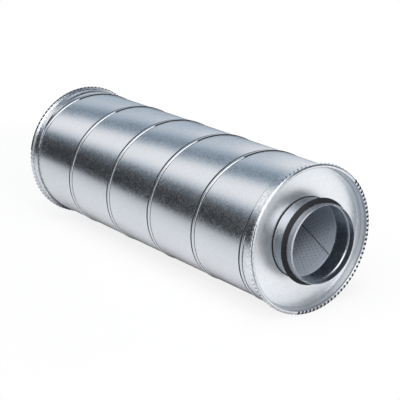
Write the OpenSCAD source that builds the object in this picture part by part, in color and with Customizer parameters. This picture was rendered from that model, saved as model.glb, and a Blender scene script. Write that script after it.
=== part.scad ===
// Round duct silencer: a spiral-seam casing, two dished end caps with spigots and lip gaskets,
// and a perforated inner tube wrapped in fleece and mineral wool. The duct axis is X.

/* [Duct connection] */
// Nominal diameter of the duct that slides over a spigot
duct_d = 125; // [100:1:150]
// Radial play between a spigot's hem and the duct
duct_play = 0.35; // [0.1:0.05:0.8]
// Length of a spigot from its end plate to its mouth
spigot_len = 44; // [40:1:60]
// Length of a spigot behind its end plate
spigot_tail = 10; // [6:1:25]
// Sheet thickness of a spigot
spigot_wall = 0.7; // [0.5:0.1:1]
// Width of the hem folded over the spigot's end, in front of the gasket
hem_w = 12.8; // [10:0.2:16]
// Height of the hem above the neck
hem_h = 0.7; // [0.6:0.1:1]
// Length over which the hem is rounded in towards the mouth
nose_len = 4.4; // [3:0.2:5]
// Radius of that rounding
nose_r = 10; // [10:0.5:16]

/* [Gasket] */
// Width of the gasket's foot
gasket_w = 10; // [8:0.5:12]
// Thickness of the gasket's foot
gasket_foot = 1.3; // [0.8:0.1:2]
// Height of the front lip above the neck, uncompressed
gasket_lip_h = 6.2; // [4:0.1:7]
// Height of the rear lip above the neck, uncompressed
gasket_rear_h = 3; // [2.6:0.1:4]
// Thickness of a lip
gasket_lip = 1.5; // [1.2:0.1:2]
// How far a lip leans back towards the end plate for each millimetre of its height
gasket_slope = 0.85; // [0.4:0.05:1]
// Inside radius of the groove in the spigot that holds the gasket
seat_r = 2.2; // [1.8:0.1:2.5]
// How far the middle of the groove lies in front of the hem's rear edge
seat_lead = 0.6; // [0.2:0.1:0.8]
// Clearance between the gasket and its groove
gasket_play = 0.1; // [0.05:0.05:0.2]

/* [Casing] */
// Outer diameter of the casing
casing_d = 224; // [210:1:300]
// Sheet thickness of the casing
casing_wall = 0.7; // [0.6:0.1:1]
// Length between the outer faces of the two end plates
body_len = 600; // [300:10:1200]
// Distance from one turn of the lock seam to the next
seam_pitch = 118.7; // [80:0.1:160]
// Width of the lock seam
seam_w = 6.4; // [4:0.2:10]
// Height of the lock seam above the casing
seam_h = 1.2; // [0.8:0.1:2]
// Angle at which the seam crosses the middle of the casing
seam_phase = -21; // [-180:1:180]
// Width of the groove that the seam leaves inside
groove_w = 1.6; // [1:0.1:2.4]
// Depth of the groove that the seam leaves inside
groove_d = 0.2; // [0.1:0.05:0.3]

/* [End caps] */
// Sheet thickness of an end cap
cap_wall = 0.8; // [0.6:0.1:1.2]
// Depth of the end plate behind the rim
rim_recess = 18; // [12:1:30]
// Width of the collar that is folded back over the casing, with the rim's bead
collar_w = 21; // [16:1:40]
// Height of the rim's bead above the collar
bead_h = 2.4; // [2.2:0.1:4]
// Width of the straight top of the bead
bead_w = 1.6; // [1:0.2:4]
// Inside radius of the bends from the bead down to the collar
bead_bend = 0.6; // [0.3:0.1:0.7]
// Inside radius of the bend between end plate and rim
cap_bend = 3; // [1:0.5:6]
// Height of the collar drawn out of the end plate around the spigot
hole_collar_h = 3.6; // [2.8:0.2:6]
// Inside radius of the bend between end plate and hole collar
hole_bend = 1.6; // [1:0.2:2.4]
// Clearance between an end cap and the pieces that it holds
cap_play = 0.1; // [0.05:0.05:0.3]
// Number of crimp ribs around the bead
rib_count = 96; // [48:1:120]
// Width of a crimp rib at its foot
rib_w = 3.8; // [2:0.2:4.4]
// Height of a crimp rib
rib_h = 1; // [0.4:0.1:1.2]
// Length of a crimp rib
rib_len = 4; // [3:0.1:4.2]
// How far a crimp rib reaches over the rim's fold
rib_lead = 1.2; // [0.6:0.1:1.3]

/* [Lining] */
// Wall thickness of the perforated tube
tube_wall = 0.7; // [0.5:0.1:1]
// How far the perforated tube reaches into a spigot, past the end plate
tube_reach = 4; // [0:0.5:10]
// Clearance between the perforated tube and its neighbours
tube_play = 0.1; // [0.05:0.05:0.3]
// Diameter of a perforation
hole_d = 8; // [4:0.5:10]
// Distance between rows of perforations
hole_row = 24; // [16:1:60]
// Number of perforations in a row
holes_around = 16; // [8:2:24]
// Thickness of the fleece
fleece_wall = 0.6; // [0.4:0.1:1.5]
// Clearance around the fleece and the wool
wool_play = 0.15; // [0.1:0.05:0.5]

/* [Hidden] */
$fn = 96;
overcut = 1;
seam_steps = 60;
steel = "lightsteelblue";
bright_steel = "gainsboro";

// Places along the axis
plate_x = body_len / 2;
rim_x = plate_x + rim_recess;
mouth_x = plate_x + spigot_len;
tail_x = plate_x - spigot_tail;

// Spigot
hem_r = duct_d / 2 - duct_play;
neck_r = hem_r - hem_h;
spigot_in_r = neck_r - spigot_wall;
hem_x = mouth_x - hem_w;
nose_x = mouth_x - nose_len;
seat_x = hem_x + seat_lead;

// Gasket
gasket_front = hem_x - gasket_play;
gasket_x = gasket_front - gasket_w;
gasket_rear_x = gasket_x + gasket_lip * 1.5;

// Casing and end cap
casing_r = casing_d / 2;
casing_in_r = casing_r - casing_wall;
hole_r = neck_r + cap_play;
hole_collar_r = hole_r + cap_wall;
leg_out_r = casing_in_r - cap_play;
leg_in_r = leg_out_r - cap_wall;
collar_in_r = casing_r + seam_h + cap_play;
collar_out_r = collar_in_r + cap_wall;
bead_out_r = collar_out_r + bead_h;
bead_in_r = bead_out_r - cap_wall;
fold_in = (bead_in_r - leg_out_r) / 2;
fold_out = fold_in + cap_wall;
fold_x = rim_x - fold_out;
bead_x = fold_x - bead_w;
step_x = bead_x - bead_bend - cap_wall;
collar_end = step_x - bead_bend;
casing_half = fold_x;
flange_r = bead_in_r - cap_play;
rib_sink = cap_wall / 2;

// Lining
tube_out_r = spigot_in_r - tube_play;
tube_in_r = tube_out_r - tube_wall;
tube_half = plate_x + tube_reach;
fleece_in_r = tube_out_r + tube_play;
fleece_out_r = fleece_in_r + fleece_wall;
fleece_half = tail_x - wool_play;
wool_in_r = max(neck_r, fleece_out_r) + wool_play;
wool_out_r = casing_in_r - wool_play;
wool_half = plate_x - cap_wall - wool_play;
hole_rows = floor((fleece_half - hole_d) / hole_row);

// Turns a profile drawn as [radius, place along the axis] about the X axis
module turned() {
    rotate([0, 90, 0])
        rotate_extrude()
            children();
}

// A strip of a turned profile
module strip(r_in, r_out, x_from, x_to) {
    translate([r_in, x_from])
        square([r_out - r_in, x_to - x_from]);
}

// A quarter bend of a sheet about a point, towards the given signs of radius and axis
module bend(r, x, inside, sheet, to_r, to_x) {
    size = inside + sheet + overcut;
    translate([r, x])
        intersection() {
            difference() {
                circle(inside + sheet);
                circle(inside);
            }
            translate([to_r > 0 ? 0 : -size, to_x > 0 ? 0 : -size])
                square(size);
        }
}

// A plain tube along the axis, centred
module tube(r_in, r_out, half) {
    turned()
        strip(r_in, r_out, -half, half);
}

// A strip of the given section swept along the seam's left-hand helix
module along_seam(section) {
    half = casing_half - casing_wall - seam_w;
    corners = len(section);
    turns = 2 * half / seam_pitch;
    steps = ceil(turns * seam_steps);
    first = seam_phase - turns * 180;
    points = [
        for (i = [0 : steps], corner = section)
            let (angle = first + i * turns * 360 / steps, along = half - 2 * half * i / steps)
                [along + corner[0], corner[1] * cos(angle), corner[1] * sin(angle)]
    ];
    sides = [
        for (i = [0 : steps - 1], j = [0 : corners - 1])
            let (a = i * corners + j, b = i * corners + (j + 1) % corners)
                each [[a, b, b + corners], [a, b + corners, a + corners]]
    ];
    ends = [
        [for (j = [0 : corners - 1]) corners - 1 - j],
        [for (j = [0 : corners - 1]) steps * corners + j]
    ];
    polyhedron(points, concat(sides, ends));
}

// The lock seam: a low ridge, its foot let into the casing wall
module lock_seam() {
    foot_r = casing_r - casing_wall / 2;
    top_r = casing_r + seam_h;
    along_seam([[-seam_w / 2, foot_r], [-seam_w / 3, top_r], [seam_w / 3, top_r], [seam_w / 2, foot_r]]);
}

// The groove that the folded seam leaves inside the casing
module seam_groove() {
    top_r = casing_in_r + groove_d;
    foot_r = casing_in_r - overcut;
    along_seam([[-groove_w / 2, foot_r], [-groove_w / 2, top_r], [groove_w / 2, top_r], [groove_w / 2, foot_r]]);
}

// The casing's wound strip, with its two ends flanged out into the caps' beads
module outer_casing() {
    color(steel)
        difference() {
            union() {
                turned() {
                    strip(casing_in_r, casing_r, -casing_half, casing_half);
                    strip(casing_in_r, flange_r, casing_half - casing_wall, casing_half);
                    strip(casing_in_r, flange_r, -casing_half, casing_wall - casing_half);
                }
                lock_seam();
            }
            seam_groove();
        }
}

// Section of an end cap: hole collar, plate, leg inside the casing, fold and bead over its end, collar outside
module cap_section() {
    strip(hole_r, hole_collar_r, plate_x + hole_bend, plate_x + hole_collar_h);
    bend(hole_collar_r + hole_bend, plate_x + hole_bend, hole_bend, cap_wall, -1, -1);
    strip(hole_collar_r + hole_bend, leg_in_r - cap_bend, plate_x - cap_wall, plate_x);
    bend(leg_in_r - cap_bend, plate_x + cap_bend, cap_bend, cap_wall, 1, -1);
    strip(leg_in_r, leg_out_r, plate_x + cap_bend, fold_x);
    bend(leg_out_r + fold_in, fold_x, fold_in, cap_wall, -1, 1);
    bend(leg_out_r + fold_in, fold_x, fold_in, cap_wall, 1, 1);
    strip(bead_in_r, bead_out_r, bead_x, fold_x);
    bend(bead_in_r - bead_bend, bead_x, bead_bend, cap_wall, 1, -1);
    strip(collar_out_r + bead_bend, bead_in_r - bead_bend, step_x, step_x + cap_wall);
    bend(collar_out_r + bead_bend, collar_end, bead_bend, cap_wall, -1, 1);
    strip(collar_in_r, collar_out_r, rim_x - collar_w, collar_end);
}

// The ribs that the crimping roller leaves on the bead
module crimp_ribs() {
    foot = bead_out_r - rib_sink;
    top = bead_out_r + rib_h;
    for (i = [0 : rib_count - 1])
        rotate([(i + 0.5) * 360 / rib_count, 0, 0])
            translate([fold_x + rib_lead - rib_len, 0, 0])
                rotate([90, 0, 90])
                    linear_extrude(rib_len)
                        polygon([[-rib_w / 2, foot], [rib_w / 2, foot], [rib_w / 4, top], [-rib_w / 4, top]]);
}

module front_end_cap() {
    color(bright_steel)
        union() {
            turned()
                cap_section();
            crimp_ribs();
        }
}

module rear_end_cap() {
    mirror([1, 0, 0])
        front_end_cap();
}

// The half of a disc that lies inside the neck's outer face by the given depth
module seat_disc(r, depth) {
    translate([neck_r, seat_x])
        intersection() {
            circle(r);
            translate([-r - overcut, -r - overcut])
                square([r + overcut - depth, 2 * (r + overcut)]);
        }
}

// Section of a spigot: neck with its tail behind the end plate, groove for the gasket, hem with a rounded nose
module spigot_section() {
    difference() {
        union() {
            strip(spigot_in_r, neck_r, tail_x, nose_x);
            seat_disc(seat_r + spigot_wall, 0);
        }
        seat_disc(seat_r, 0);
    }
    strip(neck_r, hem_r, hem_x, nose_x);
    intersection() {
        strip(spigot_in_r, hem_r, nose_x, mouth_x);
        translate([hem_r - nose_r, nose_x])
            circle(nose_r);
    }
}

module front_spigot() {
    color(bright_steel)
        turned()
            spigot_section();
}

module rear_spigot() {
    mirror([1, 0, 0])
        front_spigot();
}

// One lip of the gasket, rooted in the foot and leaning back towards the end plate
module gasket_lip_section(x, height) {
    root_r = neck_r + gasket_foot / 2;
    tip_r = neck_r + height - gasket_lip / 2;
    tip_x = x - (tip_r - root_r) * gasket_slope;
    polygon([[root_r, x], [tip_r, tip_x], [tip_r, tip_x + gasket_lip], [root_r, x + gasket_lip]]);
    translate([tip_r, tip_x + gasket_lip / 2])
        circle(gasket_lip / 2);
}

module front_gasket() {
    color("dimgray")
        turned() {
            seat_disc(seat_r - gasket_play, gasket_play);
            strip(neck_r - 3 * gasket_play, neck_r + gasket_foot, seat_x - seat_r + gasket_play, gasket_front);
            strip(neck_r, neck_r + gasket_foot, gasket_x, gasket_front);
            gasket_lip_section(gasket_front - gasket_lip, gasket_lip_h);
            gasket_lip_section(gasket_rear_x, gasket_rear_h);
        }
}

module rear_gasket() {
    mirror([1, 0, 0])
        front_gasket();
}

// Perforations in staggered rows
module perforations() {
    for (row = [-hole_rows : hole_rows], i = [0 : holes_around - 1])
        rotate([(i + (row % 2 == 0 ? 0 : 0.5)) * 360 / holes_around, 0, 0])
            translate([row * hole_row, 0, tube_in_r - overcut])
                cylinder(h = tube_wall + 2 * overcut, d = hole_d);
}

module inner_tube() {
    color("slategray")
        difference() {
            tube(tube_in_r, tube_out_r, tube_half);
            perforations();
        }
}

module fleece_wrap() {
    color("darkslategray")
        tube(fleece_in_r, fleece_out_r, fleece_half);
}

module mineral_wool() {
    color("goldenrod")
        tube(wool_in_r, wool_out_r, wool_half);
}

outer_casing();
front_end_cap();
rear_end_cap();
front_spigot();
rear_spigot();
front_gasket();
rear_gasket();
inner_tube();
fleece_wrap();
mineral_wool();
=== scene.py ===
import math

import bmesh
import bpy
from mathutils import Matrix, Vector


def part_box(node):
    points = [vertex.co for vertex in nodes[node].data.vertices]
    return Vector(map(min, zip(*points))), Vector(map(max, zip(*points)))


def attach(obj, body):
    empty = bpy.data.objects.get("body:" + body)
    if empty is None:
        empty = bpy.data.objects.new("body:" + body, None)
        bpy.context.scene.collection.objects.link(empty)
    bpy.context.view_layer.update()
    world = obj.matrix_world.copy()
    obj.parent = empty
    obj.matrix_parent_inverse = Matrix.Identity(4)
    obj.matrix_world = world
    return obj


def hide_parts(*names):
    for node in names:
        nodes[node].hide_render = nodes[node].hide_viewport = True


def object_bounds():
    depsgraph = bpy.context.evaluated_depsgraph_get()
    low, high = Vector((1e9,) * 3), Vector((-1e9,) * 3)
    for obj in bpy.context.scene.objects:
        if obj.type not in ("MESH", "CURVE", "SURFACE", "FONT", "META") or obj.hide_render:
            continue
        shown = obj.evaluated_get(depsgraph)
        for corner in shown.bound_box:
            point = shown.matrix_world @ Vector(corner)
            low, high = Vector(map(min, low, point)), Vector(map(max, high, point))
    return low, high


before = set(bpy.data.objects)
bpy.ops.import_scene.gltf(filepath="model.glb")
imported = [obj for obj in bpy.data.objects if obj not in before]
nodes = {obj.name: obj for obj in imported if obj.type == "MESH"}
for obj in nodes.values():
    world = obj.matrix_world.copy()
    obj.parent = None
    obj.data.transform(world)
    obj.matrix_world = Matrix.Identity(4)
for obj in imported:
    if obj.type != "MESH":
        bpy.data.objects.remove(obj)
cad_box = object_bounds()

# Where the object stands, in metres
FLOOR_Z = cad_box[0].z

# The casing's wound strip, in metres and degrees
CASING_R = 0.112
CASING_WALL = 0.0007
SEAM_PITCH = 0.1187
SEAM_PHASE = -21
SEAM_STEPS = 240

# The lock seam's section, in millimetres: along the casing towards the front, and above it
SEAM_SECTION = [
    (-7.4, 0.0), (-6.9, -0.05), (-6.5, -0.2), (-5.2, -0.45), (-3.8, -0.58), (-2.95, -0.6), (-2.85, 0.3),
    (-2.55, 0.8), (-1.9, 1.05), (-0.4, 1.14), (1.2, 1.12), (1.9, 1.0), (2.35, 0.7), (2.65, 0.1), (2.8, -0.35),
    (3.3, -0.38), (3.7, -0.06), (4.2, 0.0),
]
MM_PER_M = 1000

# The stretches of that section where painted shade darkens the creases, in millimetres along the casing, and
# where painted shade lies on the ridge as well, with the arc of that shade at the top in degrees from +Y
# towards +Z
SEAM_SHADE = ((-6.9, -2.5), (2.7, 3.3))
TOP_SHADE = ((0.9, 2.7),)
TOP_SHADE_ARC = (52, 108)

# The perforated tube's sheet, in metres
TUBE_WALL = 0.0007
HOLE_PITCH = 0.007
HOLE_D = 0.003
HOLE_SIDES = 6
PLAIN_END = 0.012

# The lap seam of the perforated tube, where a black strip of painted shade runs, in metres and degrees
LAP_LEAD = 1.046
LAP_X = 0.301
LAP_ANGLE = -37
LAP_W = 0.0014
LAP_H = 0.0003
LAP_STEPS = 160

# The end caps' collars, plates, hole collars and crimped folds, in metres, and the number of the folds' ribs
COLLAR_EDGE_X = 0.297
COLLAR_IN_R = 0.1133
PLATE_X = 0.3
HOLE_COLLAR_R = 0.06235
FOLD_X = 0.31495
FOLD_MID_R = 0.11345
FOLD_R = 0.00305
RIB_COUNT = 96

# Steps of a ring round the axis
RING_STEPS = 144

# The beads of painted shade in the gaps, in metres: how far they spill from the rear and front collars, how
# far they reach under them, their height there and on the spill, and their section at a hole collar's foot,
# along the axis from the plate's face and out from the collar
REAR_SPILL = 0.0002
FRONT_SPILL = 0.003
BEAD_IN = 0.0006
BEAD_H = 0.0005
SPILL_H = 0.0004
NECK_BEAD = ((-0.0001, -0.0001), (0.0026, -0.0001), (0.0024, 0.0003), (0.0001, 0.0015))

# The collars' lips, in metres: their width, the gap to the casing, and the lap over the collar
LIP_W = 0.0012
LIP_GAP = 0.0005
LIP_LAP = 0.0002

# The black pads of painted shade between the crimp ribs, in metres and degrees. A profile has degrees round
# the fold from the end's face and the height above it. A set has the end's sign, a profile, the arc from +Y
# towards +Z, and the width of a pad
SHADE_ROOT = -0.0002
FACE_SHADE = ((-35, 0.0001), (-10, 0.0002), (15, 0.0004), (40, 0.0008), (65, 0.0010), (90, 0.0008))
BACK_SHADE = ((60, 0.0006), (75, 0.0011), (90, 0.0012), (110, 0.0010), (130, 0.0006), (150, 0.0002))
CRIMP_SHADE = (
    (1, FACE_SHADE, -104, 44, 0.0034),
    (-1, FACE_SHADE, -104, 44, 0.0034),
    (-1, BACK_SHADE, 50, 172, 0.0052),
)

# The zinc: its crystals in metres, the scales of its clouds and grain, the shares of the three, how far tone
# and roughness differ, and the relief
SPANGLE = 0.003
CLOUD_SCALE = 14.0
GRAIN_SCALE = 900.0
ZINC_SHARES = (0.5, 0.3, 0.2)
CONTRAST = 0.05
ROUGH_SPAN = 0.16
RELIEF = 0.01

# Tones of the end caps: the radii between which the plate gives way to the collar, where the darker rings
# begin along the axis and how far they go, the rings' tones over that depth, the collar's spots and extra
# gloss, and how far the plate counts as metal
COLLAR_FADE = (0.1122, 0.1132)
RINGS_X = 0.298
RINGS_DEPTH = 0.022
RING_TONES = [
    (0.27, 1.0), (0.31, 0.75), (0.37, 0.75), (0.41, 1.0),
    (0.70, 1.0), (0.74, 0.66), (0.83, 0.66), (0.87, 1.0),
]
SPOT_SCALE = 260.0
SPOT_TONES = [(0.42, 0.78), (0.58, 0.95)]
COLLAR_GLOSS = 0.15
PLATE_METAL = 0.88

# The camera, fitted to the photograph: degrees, metres, pixels of its 400 x 400 frame, and a sensor in
# millimetres
PHOTO_SIDE = 400
CAM_AZIMUTH = 53.87
CAM_ELEVATION = 17.23
CAM_DISTANCE = 2.242
CAM_FOCAL_PX = 1338.6
ORIGIN_PX = (186.45, 189.56)
SENSOR = 36.0
CLIP_END = 50


def direction(azimuth, elevation):
    """Unit vector from the object to a camera at that azimuth and elevation."""
    a, e = math.radians(azimuth), math.radians(elevation)
    return Vector((math.sin(a) * math.cos(e), -math.cos(a) * math.cos(e), math.sin(e)))


def make_camera():
    """The photograph's camera, turned so that the row frame's origin falls on its pixel."""
    back = direction(CAM_AZIMUTH, CAM_ELEVATION)
    right = Vector((0, 0, 1)).cross(back).normalized()
    up = back.cross(right)
    pixel = CAM_DISTANCE / CAM_FOCAL_PX
    aim = right * (PHOTO_SIDE / 2 - ORIGIN_PX[0]) * pixel - up * (PHOTO_SIDE / 2 - ORIGIN_PX[1]) * pixel
    data = bpy.data.cameras.new("camera")
    data.sensor_width = SENSOR
    data.lens = SENSOR * CAM_FOCAL_PX / PHOTO_SIDE
    data.clip_end = CLIP_END
    cam = bpy.data.objects.new("camera", data)
    cam.location = back * CAM_DISTANCE
    cam.rotation_euler = (aim - cam.location).to_track_quat("-Z", "Y").to_euler()
    bpy.context.scene.collection.objects.link(cam)
    bpy.context.scene.camera = cam


class Nodes:
    """Short forms for building a node tree."""

    def __init__(self, tree):
        self.tree = tree
        tree.nodes.clear()

    def add(self, kind, **values):
        node = self.tree.nodes.new(kind)
        for key, value in values.items():
            if hasattr(node, key):
                setattr(node, key, value)
            else:
                node.inputs[key.replace("_", " ")].default_value = value
        return node

    def link(self, source, target):
        self.tree.links.new(source, target)

    def math(self, operation, *args):
        node = self.add("ShaderNodeMath", operation=operation)
        for i, arg in enumerate(args):
            if isinstance(arg, (int, float)):
                node.inputs[i].default_value = arg
            else:
                self.link(arg, node.inputs[i])
        return node.outputs[0]

    def ramp(self, fac, stops):
        node = self.add("ShaderNodeValToRGB")
        elements = node.color_ramp.elements
        while len(elements) < len(stops):
            elements.new(0.5)
        for element, (at, value) in zip(elements, stops):
            element.position = at
            element.color = (*value, 1) if isinstance(value, tuple) else (value, value, value, 1)
        self.link(fac, node.inputs[0])
        return node.outputs[0]

    def smooth(self, value, start, end, low=0, high=1):
        """A smooth step of the value, from low at the start to high at the end."""
        node = self.add("ShaderNodeMapRange", interpolation_type="SMOOTHSTEP")
        self.link(value, node.inputs["Value"])
        for socket, level in zip(("From Min", "From Max", "To Min", "To Max"), (start, end, low, high)):
            node.inputs[socket].default_value = level
        return node.outputs[0]

    def blend(self, share, first, second):
        """A mix of two colours."""
        node = self.add("ShaderNodeMix", data_type="RGBA")
        self.link(share, node.inputs["Factor"])
        self.link(first, node.inputs[6])
        self.link(second, node.inputs[7])
        return node.outputs[2]

    def bump(self, bsdf, height, strength, distance):
        """Relief on a shader, after a pattern."""
        node = self.add("ShaderNodeBump", Strength=strength, Distance=distance)
        self.link(height, node.inputs["Height"])
        self.link(node.outputs[0], bsdf.inputs["Normal"])


def new_material(name):
    """A material with a principled shader, the short forms for its tree, and the shader."""
    mat = bpy.data.materials.new(name)
    mat.use_nodes = True
    n = Nodes(mat.node_tree)
    out = n.add("ShaderNodeOutputMaterial")
    bsdf = n.add("ShaderNodeBsdfPrincipled")
    n.link(bsdf.outputs[0], out.inputs[0])
    return mat, n, bsdf


def galvanised(name, colour, roughness, metal=1.0, variation=None):
    """Hot-dip zinc: fine crystals that differ a little in tone and gloss, over a faint cloudiness.

    The function for marked places, where there is one, gives their tone, extra gloss and metal.
    """
    mat, n, bsdf = new_material(name)
    coords = n.add("ShaderNodeTexCoord").outputs["Object"]
    cells = n.add("ShaderNodeTexVoronoi", Scale=1 / SPANGLE)
    cloud = n.add("ShaderNodeTexNoise", Scale=CLOUD_SCALE, Detail=4.0)
    grain = n.add("ShaderNodeTexNoise", Scale=GRAIN_SCALE, Detail=2.0)
    for tex in (cells, cloud, grain):
        n.link(coords, tex.inputs["Vector"])
    tone = n.add("ShaderNodeSeparateColor")
    n.link(cells.outputs["Color"], tone.inputs[0])
    patterns = (tone.outputs[0], cloud.outputs[0], grain.outputs[0])
    shares = [n.math("MULTIPLY", pattern, share) for pattern, share in zip(patterns, ZINC_SHARES)]
    mixed = n.math("ADD", shares[0], n.math("ADD", shares[1], shares[2]))
    low = tuple(c * (1 - CONTRAST) for c in colour)
    high = tuple(min(1, c * (1 + CONTRAST)) for c in colour)
    tint = n.ramp(mixed, [(0.25, low), (0.75, high)])
    rough = n.math("ADD", n.math("MULTIPLY", mixed, ROUGH_SPAN), roughness - ROUGH_SPAN / 2)
    if variation:
        shade, gloss, sheen = variation(n, coords)
        scaled = n.add("ShaderNodeVectorMath", operation="SCALE")
        n.link(tint, scaled.inputs[0])
        n.link(shade, scaled.inputs["Scale"])
        tint = scaled.outputs[0]
        rough = n.math("SUBTRACT", rough, gloss)
        n.link(sheen, bsdf.inputs["Metallic"])
    else:
        bsdf.inputs["Metallic"].default_value = metal
    n.link(tint, bsdf.inputs["Base Color"])
    n.link(rough, bsdf.inputs["Roughness"])
    n.bump(bsdf, mixed, strength=RELIEF, distance=0.001)
    return mat


def cap_rings_and_spots(n, coords):
    """Two darker rings at set depths inside the rim, and a smoother collar with dark handling marks outside
    it.
    """
    xyz = n.add("ShaderNodeSeparateXYZ")
    n.link(coords, xyz.inputs[0])
    y, z = xyz.outputs[1], xyz.outputs[2]
    radius = n.math("SQRT", n.math("ADD", n.math("MULTIPLY", y, y), n.math("MULTIPLY", z, z)))
    outside = n.smooth(radius, *COLLAR_FADE)
    depth = n.math("DIVIDE", n.math("SUBTRACT", n.math("ABSOLUTE", xyz.outputs[0]), RINGS_X), RINGS_DEPTH)
    rings = n.ramp(depth, RING_TONES)
    spots = n.add("ShaderNodeTexNoise", Scale=SPOT_SCALE, Detail=3.0)
    n.link(coords, spots.inputs["Vector"])
    marks = n.ramp(spots.outputs[0], SPOT_TONES)
    tone = n.add("ShaderNodeSeparateColor")
    n.link(n.blend(outside, rings, marks), tone.inputs[0])
    gloss = n.math("MULTIPLY", outside, COLLAR_GLOSS)
    metal = n.math("ADD", n.math("MULTIPLY", outside, 1 - PLATE_METAL), PLATE_METAL)
    return tone.outputs[0], gloss, metal


def plain(name, colour, roughness):
    """One even colour, not metal."""
    mat, _, bsdf = new_material(name)
    bsdf.inputs["Base Color"].default_value = (*colour, 1)
    bsdf.inputs["Roughness"].default_value = roughness
    return mat


def rubber(name):
    """Matt black rubber with a fine grain."""
    mat, n, bsdf = new_material(name)
    coords = n.add("ShaderNodeTexCoord").outputs["Object"]
    grain = n.add("ShaderNodeTexNoise", Scale=700.0, Detail=3.0)
    n.link(coords, grain.inputs["Vector"])
    n.link(n.ramp(grain.outputs[0], [(0.3, (0.008, 0.008, 0.009)), (0.7, (0.02, 0.02, 0.022))]),
           bsdf.inputs["Base Color"])
    bsdf.inputs["Roughness"].default_value = 0.5
    bsdf.inputs["Specular IOR Level"].default_value = 0.25
    n.bump(bsdf, grain.outputs[0], strength=0.15, distance=0.0004)
    return mat


def fibre(name, dark, light, scale):
    """Loose fibres, between a dark and a light colour."""
    mat, n, bsdf = new_material(name)
    coords = n.add("ShaderNodeTexCoord").outputs["Object"]
    fluff = n.add("ShaderNodeTexNoise", Scale=scale, Detail=6.0)
    n.link(coords, fluff.inputs["Vector"])
    n.link(n.ramp(fluff.outputs[0], [(0.3, dark), (0.7, light)]), bsdf.inputs["Base Color"])
    bsdf.inputs["Roughness"].default_value = 0.95
    n.bump(bsdf, fluff.outputs[0], strength=0.5, distance=0.001)
    return mat


def dress(node, material):
    """Gives a CAD node its only material."""
    slots = nodes[node].data.materials
    slots.clear()
    slots.append(material)


def make_materials():
    """Dresses every CAD node; the pieces that replace a node take its material."""
    casing = galvanised("casing_zinc", (0.66, 0.68, 0.715), roughness=0.23)
    cap = galvanised("cap_zinc", (0.80, 0.82, 0.85), roughness=0.38, variation=cap_rings_and_spots)
    spigot = galvanised("spigot_zinc", (0.50, 0.52, 0.555), roughness=0.24)
    lining = galvanised("lining_zinc", (0.52, 0.57, 0.64), roughness=0.55, metal=0.35)
    seal = rubber("gasket_rubber")
    dress("outer_casing", casing)
    for end in ("front", "rear"):
        dress(end + "_end_cap", cap)
        dress(end + "_spigot", spigot)
        dress(end + "_gasket", seal)
    dress("inner_tube", lining)
    dress("fleece_wrap", fibre("fleece", dark=(0.12, 0.13, 0.14), light=(0.26, 0.28, 0.3), scale=400.0))
    dress("mineral_wool", fibre("wool", dark=(0.35, 0.31, 0.18), light=(0.6, 0.54, 0.36), scale=120.0))


def add_piece(name, points, faces, materials, sharp, marked=()):
    """A closed mesh in the row frame, smooth up to that angle; marked faces take the second material."""
    mesh = bpy.data.meshes.new(name)
    mesh.from_pydata(points, [], faces)
    for face in marked:
        mesh.polygons[face].material_index = 1
    bm = bmesh.new()
    bm.from_mesh(mesh)
    bmesh.ops.remove_doubles(bm, verts=bm.verts, dist=1e-6)
    bmesh.ops.recalc_face_normals(bm, faces=bm.faces)
    bm.to_mesh(mesh)
    bm.free()
    mesh.shade_smooth()
    mesh.set_sharp_from_angle(angle=math.radians(sharp))
    piece = bpy.data.objects.new(name, mesh)
    bpy.context.scene.collection.objects.link(piece)
    for material in materials:
        mesh.materials.append(material)
    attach(piece, "root")
    return piece


def band(a, b):
    """The four faces between two rings of four points, given each ring's first index."""
    return [(a + k, a + (k + 1) % 4, b + (k + 1) % 4, b + k) for k in range(4)]


def swept_rings(sections):
    """Closed rings round the axis, one for each section of four points along it and away from it."""
    points, faces = [], []
    for section in sections:
        first = len(points)
        for i in range(RING_STEPS):
            t = 2 * math.pi * i / RING_STEPS
            points += [(x, r * math.cos(t), r * math.sin(t)) for x, r in section]
        for i in range(RING_STEPS):
            faces += band(first + 4 * i, first + 4 * ((i + 1) % RING_STEPS))
    return points, faces


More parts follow.
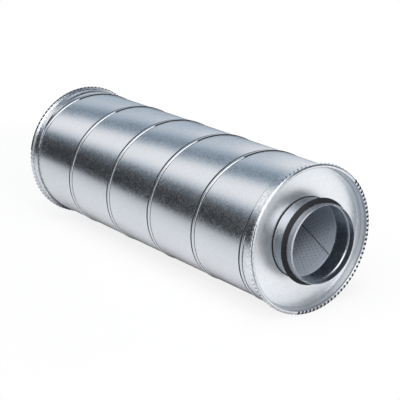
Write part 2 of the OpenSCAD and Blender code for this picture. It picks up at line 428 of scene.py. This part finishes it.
def wound_casing():
    """The casing as it is made: a strip wound on a helix, its edges locked in a raised seam with creases."""
    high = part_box("outer_casing")[1]
    end, flange = high.x, high.z
    shoulder = end - CASING_WALL
    inner = CASING_R - CASING_WALL
    half = SEAM_PITCH / 2
    section = [(-half, 0.0)] + [(u / MM_PER_M, h / MM_PER_M) for u, h in SEAM_SECTION] + [(half, 0.0)]
    reach = math.ceil(SEAM_STEPS * (end / SEAM_PITCH + 1))

    def shade_mask(bands):
        middles = [(p[0] + q[0]) / 2 * MM_PER_M for p, q in zip(section, section[1:])]
        return [any(a <= u <= b for a, b in bands) for u in middles]

    crease_shade, crease_and_top_shade = shade_mask(SEAM_SHADE), shade_mask(SEAM_SHADE + TOP_SHADE)
    points, faces, marked = [], [], []

    def point(x, r, t):
        points.append((x, r * math.cos(t), r * math.sin(t)))
        return len(points) - 1

    rows = []
    for i in range(-reach, reach + 1):
        turn = i / SEAM_STEPS
        t = math.radians(SEAM_PHASE + 360 * turn)
        row = []
        for u, h in section:
            x = u - SEAM_PITCH * turn
            if abs(x) < shoulder:
                row.append(point(x, CASING_R + h, t))
            else:
                row.append(point(math.copysign(shoulder, x), CASING_R, t))
        rows.append(row)
    # Faces in the creases, and on the ridge over the top arc, take the black of painted shade
    for i, (a, b) in enumerate(zip(rows, rows[1:])):
        turned = (SEAM_PHASE + 360 * (i - reach) / SEAM_STEPS) % 360
        shade_bands = crease_and_top_shade if TOP_SHADE_ARC[0] < turned < TOP_SHADE_ARC[1] else crease_shade
        for k in range(len(section) - 1):
            if shade_bands[k]:
                marked.append(len(faces))
            faces.append((a[k], a[k + 1], b[k + 1], b[k]))
    rim = [(-shoulder, CASING_R), (-shoulder, flange), (-end, flange), (-end, inner),
           (end, inner), (end, flange), (shoulder, flange), (shoulder, CASING_R)]
    hoops = []
    for i in range(SEAM_STEPS):
        t = math.radians(SEAM_PHASE + 360 * i / SEAM_STEPS)
        hoops.append([point(x, r, t) for x, r in rim])
    for a, b in zip(hoops, hoops[1:] + hoops[:1]):
        faces += [(a[k], a[k + 1], b[k + 1], b[k]) for k in range(len(rim) - 1)]
    zinc = nodes["outer_casing"].data.materials[0]
    casing = add_piece("wound_casing", points, faces, (zinc, PAINTED_SHADE), sharp=50, marked=marked)
    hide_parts("outer_casing")


def lap_seam_shade():
    """A black strip of painted shade inside the perforated tube, where the edges of its sheet overlap along a
    steep helix.
    """
    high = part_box("inner_tube")[1]
    r, half = high.z - TUBE_WALL, high.x
    points, faces = [], []
    for i in range(LAP_STEPS + 1):
        x = -half + 2 * half * i / LAP_STEPS
        t = math.radians(LAP_ANGLE) - 2 * math.pi * (x - LAP_X) / LAP_LEAD
        for side, level in ((-1, 0.0), (1, 0.0), (1, LAP_H), (-1, LAP_H)):
            a, q = t + side * LAP_W / 2 / r, r - level
            points.append((x, q * math.cos(a), q * math.sin(a)))
    for i in range(LAP_STEPS):
        faces += band(4 * i, 4 * i + 4)
    faces += [(3, 2, 1, 0), tuple(4 * LAP_STEPS + k for k in range(4))]
    seam = add_piece("lap_seam_shade", points, faces, (PAINTED_SHADE,), sharp=30)


def shade_beads():
    """Thin black beads of painted shade in the gaps along the collars' edges and at the foot of the hole
    collars.
    """
    sections = []
    for sign, spill in ((-1, REAR_SPILL), (1, FRONT_SPILL)):
        bead = ((-spill, 0), (BEAD_IN, 0), (BEAD_IN, BEAD_H), (-spill / 2, SPILL_H))
        sections.append([(sign * (COLLAR_EDGE_X + x), CASING_R + h) for x, h in bead])
        sections.append([(sign * (PLATE_X + x), HOLE_COLLAR_R + h) for x, h in NECK_BEAD])
    piece = add_piece("shade_beads", *swept_rings(sections), (PAINTED_SHADE,), sharp=40)


def collar_lips():
    """The collars' edges nearest the casing's middle, turned in a little towards the casing."""
    low, high = CASING_R + LIP_GAP, COLLAR_IN_R + LIP_LAP
    root = COLLAR_EDGE_X + LIP_W
    lip = [(COLLAR_EDGE_X, low), (root, low), (root, high), (COLLAR_EDGE_X, high)]
    sections = [[(sign * x, r) for x, r in lip] for sign in (-1, 1)]
    zinc = nodes["front_end_cap"].data.materials[0]
    piece = add_piece("collar_lips", *swept_rings(sections), (zinc,), sharp=40)


def crimp_shade():
    """Black pads of painted shade between the crimp ribs, round part of the rims' folds.

    At the rear rim's back the painted shade also laps over the ribs' flanks.
    """
    points, faces = [], []
    for sign, profile, start, stop, width in CRIMP_SHADE:
        half = width / 2 / FOLD_MID_R
        count = len(profile)
        for i in range(RIB_COUNT):
            turn = (360 * i / RIB_COUNT + 180) % 360 - 180
            if not start < turn < stop:
                continue
            first = len(points)
            t0 = math.radians(turn)
            for bend, top in profile:
                a = math.radians(bend)
                for side, h in ((-1, SHADE_ROOT), (1, SHADE_ROOT), (1, top), (-1, top)):
                    t = t0 + side * half
                    x = sign * (FOLD_X + (FOLD_R + h) * math.cos(a))
                    r = FOLD_MID_R + (FOLD_R + h) * math.sin(a)
                    points.append((x, r * math.cos(t), r * math.sin(t)))
            for j in range(count - 1):
                faces += band(first + 4 * j, first + 4 * j + 4)
            faces += [tuple(first + k for k in range(4)), tuple(first + 4 * count - 4 + k for k in range(4))]
    piece = add_piece("crimp_shade", points, faces, (PAINTED_SHADE,), sharp=40)


def ring_triangles(outer, inner):
    """Triangles between two rings of points, given their angles; inner indices follow the outer ones."""
    found = []
    i = j = 0
    while i < len(outer) or j < len(inner):
        a, b = i % len(outer), len(outer) + j % len(inner)
        next_out = outer[i] if i < len(outer) else math.inf
        next_in = inner[j] if j < len(inner) else math.inf
        if next_out <= next_in:
            found.append(((i - 1) % len(outer), a, len(outer) + (j - 1) % len(inner)))
            i += 1
        else:
            found.append(((i - 1) % len(outer), b, len(outer) + (j - 1) % len(inner)))
            j += 1
    return found


def perforated_tube():
    """The lining: a rolled sheet with round holes in a triangular pattern, closed, in its true thickness."""
    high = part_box("inner_tube")[1]
    r_out, half = high.z, high.x
    r_in = r_out - TUBE_WALL
    around = round(2 * math.pi * r_out / HOLE_PITCH)
    pitch = 2 * math.pi * r_out / around
    row_step = pitch * math.sqrt(3) / 2
    rows = int((half - PLAIN_END) / row_step)
    corner = pitch / math.sqrt(3)
    corner_angles = [math.radians(30 + 60 * k) for k in range(6)]
    hole_angles = [2 * math.pi * (k + 0.5) / HOLE_SIDES for k in range(HOLE_SIDES)]
    first_hole = len(corner_angles)
    cell = [(corner * math.cos(t), corner * math.sin(t)) for t in corner_angles]
    cell += [(HOLE_D / 2 * math.cos(t), HOLE_D / 2 * math.sin(t)) for t in hole_angles]
    pattern = ring_triangles(corner_angles, hole_angles)
    points, faces = [], []

    def point(arc, x, r):
        t = arc / r_out
        points.append((x, r * math.cos(t), r * math.sin(t)))
        return len(points) - 1

    for row in range(-rows, rows + 1):
        for column in range(around):
            arc0 = (column + (row % 2) / 2) * pitch
            inner = [point(arc0 + da, row * row_step + dx, r_in) for da, dx in cell]
            outer = [point(arc0 + da, row * row_step + dx, r_out) for da, dx in cell]
            for a, b, c in pattern:
                faces.append((inner[a], inner[b], inner[c]))
                faces.append((outer[a], outer[c], outer[b]))
            for k in range(HOLE_SIDES):
                a, b = first_hole + k, first_hole + (k + 1) % HOLE_SIDES
                faces.append((inner[a], inner[b], outer[b], outer[a]))
    for end in (-1, 1):
        row = rows * end
        edge = [(0, corner), (pitch / 2, corner / 2)]
        arcs = [((column + (row % 2) / 2) * pitch + da, dx) for column in range(around) for da, dx in edge]
        near = [[point(arc, row * row_step + end * dx, r) for arc, dx in arcs] for r in (r_in, r_out)]
        far = [[point(arc, end * half, r) for arc, _ in arcs] for r in (r_in, r_out)]
        for k in range(len(arcs)):
            m = (k + 1) % len(arcs)
            quads = [(near[0][k], near[0][m], far[0][m], far[0][k]),
                     (near[1][m], near[1][k], far[1][k], far[1][m]),
                     (far[0][k], far[0][m], far[1][m], far[1][k])]
            faces += quads if end > 0 else [q[::-1] for q in quads]
    zinc = nodes["inner_tube"].data.materials[0]
    tube = add_piece("perforated_tube", points, faces, (zinc,), sharp=40)
    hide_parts("inner_tube")


# Brightness of the studio round the duct axis, in degrees: 0 is the far horizon, 90 the top, 180 the near
# horizon. Towards the rear, behind and near, stand long soft lights and a black screen; at the side a light
# room with a dim far half; before the object a dark room with one light from above, and straight in front an
# even wall
BEHIND = [
    (-160, 0.30), (-140, 0.35), (-50, 0.20), (-32, 0.05), (-16, 0.08), (-4, 0.32), (6, 0.54), (24, 0.60),
    (48, 0.74), (60, 0.69), (69, 0.50), (78, 0.32), (90, 0.30), (99, 0.62), (107, 1.05), (115, 1.12),
    (131, 1.12), (140, 0.80), (148, 0.23), (156, 0.10), (165, 0.045), (188, 0.03), (196, 0.08), (204, 0.28),
]
NEAR = [
    (-160, 0.30), (-140, 0.35), (-50, 0.20), (-32, 0.05), (-16, 0.30), (-4, 0.75), (8, 0.88), (24, 1.05),
    (48, 1.10), (60, 0.82), (69, 0.56), (78, 0.36), (90, 0.32), (99, 0.65), (107, 1.08), (115, 1.15),
    (134, 1.15), (143, 0.80), (151, 0.26), (158, 0.12), (166, 0.05), (188, 0.03), (196, 0.08), (204, 0.28),
]
SIDE = [
    (-160, 0.80), (-120, 0.60), (-60, 0.20), (-32, 0.06), (-10, 0.10), (10, 0.25), (28, 0.28), (76, 0.28),
    (92, 0.80), (98, 1.15), (150, 1.25), (204, 0.95),
]
BEFORE = [
    (-160, 0.20), (-110, 0.36), (-80, 0.55), (-54, 1.14), (-10, 1.22), (8, 0.6), (20, 0.14), (66, 0.14),
    (86, 0.7), (100, 2.6), (150, 2.6), (160, 0.30), (168, 0.06), (182, 0.06), (204, 0.20),
]
FRONT = [(-160, 1.0), (204, 1.0)]

# The angle at which they all begin, and their span, a little over a full turn
FIRST_ANGLE = -160
ANGLE_SPAN = 364

# Where each of them takes over from the one before it, by how far a direction points to the front
ZONES = ((NEAR, -0.76, -0.71), (SIDE, -0.5, -0.35), (BEFORE, 0.05, 0.45), (FRONT, 0.90, 0.97))


# The studio's blue: the most there is, how fast it grows as the light dims, and the tone below which it goes
MOST_BLUE = 0.2
BLUE_GROWTH = 0.35
BLUE_FLOOR = 0.15


def cool(v):
    """A grey of that brightness, bluer in the middle tones."""
    tint = min(MOST_BLUE, BLUE_GROWTH * max(0, 1 - v)) * min(1, v / BLUE_FLOOR)
    return (v * (1 - tint), v, v * (1 + tint))


def make_world():
    """A studio of long soft lights; its brightness goes by the angle round the duct and the zone along it."""
    world = bpy.data.worlds.new("studio")
    bpy.context.scene.world = world
    world.use_nodes = True
    n = Nodes(world.node_tree)
    out = n.add("ShaderNodeOutputWorld")
    xyz = n.add("ShaderNodeSeparateXYZ")
    n.link(n.add("ShaderNodeTexCoord").outputs["Generated"], xyz.inputs[0])
    angle = n.math("MULTIPLY", n.math("ARCTAN2", xyz.outputs[2], xyz.outputs[1]), 180 / math.pi)
    turn = n.math("FLOORED_MODULO", n.math("SUBTRACT", angle, FIRST_ANGLE), 360.0)
    share = n.math("DIVIDE", turn, ANGLE_SPAN)

    def light(stops):
        return n.ramp(share, [((at - FIRST_ANGLE) / ANGLE_SPAN, cool(level)) for at, level in stops])

    room = light(BEHIND)
    for stops, start, end in ZONES:
        room = n.blend(n.smooth(xyz.outputs[0], start, end), room, light(stops))
    studio = n.add("ShaderNodeBackground")
    n.link(room, studio.inputs[0])
    seen = n.add("ShaderNodeBackground", Color=(1, 1, 1, 1))
    mix = n.add("ShaderNodeMixShader")
    n.link(n.add("ShaderNodeLightPath").outputs["Is Camera Ray"], mix.inputs[0])
    n.link(studio.outputs[0], mix.inputs[1])
    n.link(seen.outputs[0], mix.inputs[2])
    n.link(mix.outputs[0], out.inputs[0])


# The floor in metres: how far it lies below the object, and where it fades in and out, along the duct and
# across it
FLOOR_GAP = 0.0002
FLOOR_ALONG = ((-1.1, -0.8), (0.2, 0.5))
FLOOR_ACROSS = ((-0.8, -0.16), (0.12, 0.45))

# Its glow in the camera, its tone, its tone across the duct where the casing stands over it, with a painted
# shadow under the narrow gap and a painted lighter band beside it, how far along the duct that reaches, and a
# shift that brings the places across into a ramp
FLOOR_GLOW = 0.85
FLOOR_TONE = 0.57
FLOOR_SHADOW_TONE = [
    (-0.35, 0.54), (-0.14, 0.58), (-0.06, 0.70), (-0.047, 0.54), (-0.036, 0.02), (0.1, 0.02), (0.15, 0.54),
]
FLOOR_SHADOW_ALONG = [(0.27, 0.0), (0.31, 1.0)]
FLOOR_SHADOW_SHIFT = 0.5


def make_floor():
    """A pale floor that fades out, so that the dark side of the studio shows beyond it."""
    back, front = FLOOR_ALONG[0][0], FLOOR_ALONG[1][1]
    near, far = FLOOR_ACROSS[0][0], FLOOR_ACROSS[1][1]
    corners = [(back, near, 0), (front, near, 0), (front, far, 0), (back, far, 0)]
    mesh = bpy.data.meshes.new("floor")
    mesh.from_pydata(corners, [], [(0, 1, 2, 3)])
    floor = bpy.data.objects.new("floor", mesh)
    floor.location = (0, 0, FLOOR_Z - FLOOR_GAP)
    bpy.context.scene.collection.objects.link(floor)
    mat, n, bsdf = new_material("floor_white")
    bsdf.inputs["Roughness"].default_value = 0.9
    bsdf.inputs["Specular IOR Level"].default_value = 0.0
    xyz = n.add("ShaderNodeSeparateXYZ")
    n.link(n.add("ShaderNodeTexCoord").outputs["Object"], xyz.inputs[0])
    # Across the duct, the floor's tone holds a painted shadow under the casing, with a painted lighter band
    # beside it
    stops = [(y + FLOOR_SHADOW_SHIFT, level) for y, level in FLOOR_SHADOW_TONE]
    across = n.ramp(n.math("ADD", xyz.outputs[1], FLOOR_SHADOW_SHIFT), stops)
    along = n.ramp(n.math("ABSOLUTE", xyz.outputs[0]), FLOOR_SHADOW_ALONG)
    tone = n.add("ShaderNodeMix", data_type="FLOAT", B=FLOOR_TONE)
    n.link(along, tone.inputs["Factor"])
    n.link(across, tone.inputs["A"])
    n.link(tone.outputs[0], bsdf.inputs["Base Color"])
    solid = 1.0
    for place, edges in ((xyz.outputs[0], FLOOR_ALONG), (xyz.outputs[1], FLOOR_ACROSS)):
        for (start, end), levels in zip(edges, ((0, 1), (1, 0))):
            solid = n.math("MULTIPLY", n.smooth(place, start, end, *levels), solid)
    glow = n.add("ShaderNodeEmission", Color=(1, 1, 1, 1))
    seen = n.add("ShaderNodeLightPath").outputs["Is Camera Ray"]
    lit = n.add("ShaderNodeMixShader")
    n.link(n.math("MULTIPLY", seen, FLOOR_GLOW), lit.inputs[0])
    n.link(bsdf.outputs[0], lit.inputs[1])
    n.link(glow.outputs[0], lit.inputs[2])
    ends = n.add("ShaderNodeMixShader")
    n.link(solid, ends.inputs[0])
    n.link(n.add("ShaderNodeBsdfTransparent").outputs[0], ends.inputs[1])
    n.link(lit.outputs[0], ends.inputs[2])
    n.link(ends.outputs[0], n.tree.nodes["Material Output"].inputs[0])
    mesh.materials.append(mat)


# The light into the bore stands beside and above the camera: by how many degrees, and how many metres away
BORE_TURN = 12
BORE_RISE = 20
BORE_DISTANCE = 2.4

# The lights: places and sizes in metres, powers in watts
LIGHTS = (
    ("overhead", Vector((0.3, -0.6, 3.0)), 3.0, 66),
    ("into_bore", direction(CAM_AZIMUTH + BORE_TURN, CAM_ELEVATION + BORE_RISE) * BORE_DISTANCE, 0.5, 19),
)


def make_lights():
    """Round soft lights aimed at the object, which the metal doesn't mirror."""
    for name, place, size, power in LIGHTS:
        data = bpy.data.lights.new(name, "AREA")
        data.shape = "DISK"
        data.size = size
        data.energy = power
        lamp = bpy.data.objects.new(name, data)
        lamp.location = place
        lamp.rotation_euler = (-place).to_track_quat("-Z", "Y").to_euler()
        lamp.visible_glossy = False
        bpy.context.scene.collection.objects.link(lamp)


make_camera()
make_materials()
# The black of painted shade: in the casing's seam creases, on the seam's ridge over the top, along the lap
# seam inside the tube, in the gaps at the collars and between the crimp ribs
PAINTED_SHADE = plain("painted_shade_black", (0.012, 0.013, 0.015), roughness=0.7)
wound_casing()
perforated_tube()
lap_seam_shade()
shade_beads()
collar_lips()
crimp_shade()
make_world()
make_floor()
make_lights()
bpy.context.scene.view_settings.view_transform = "Standard"
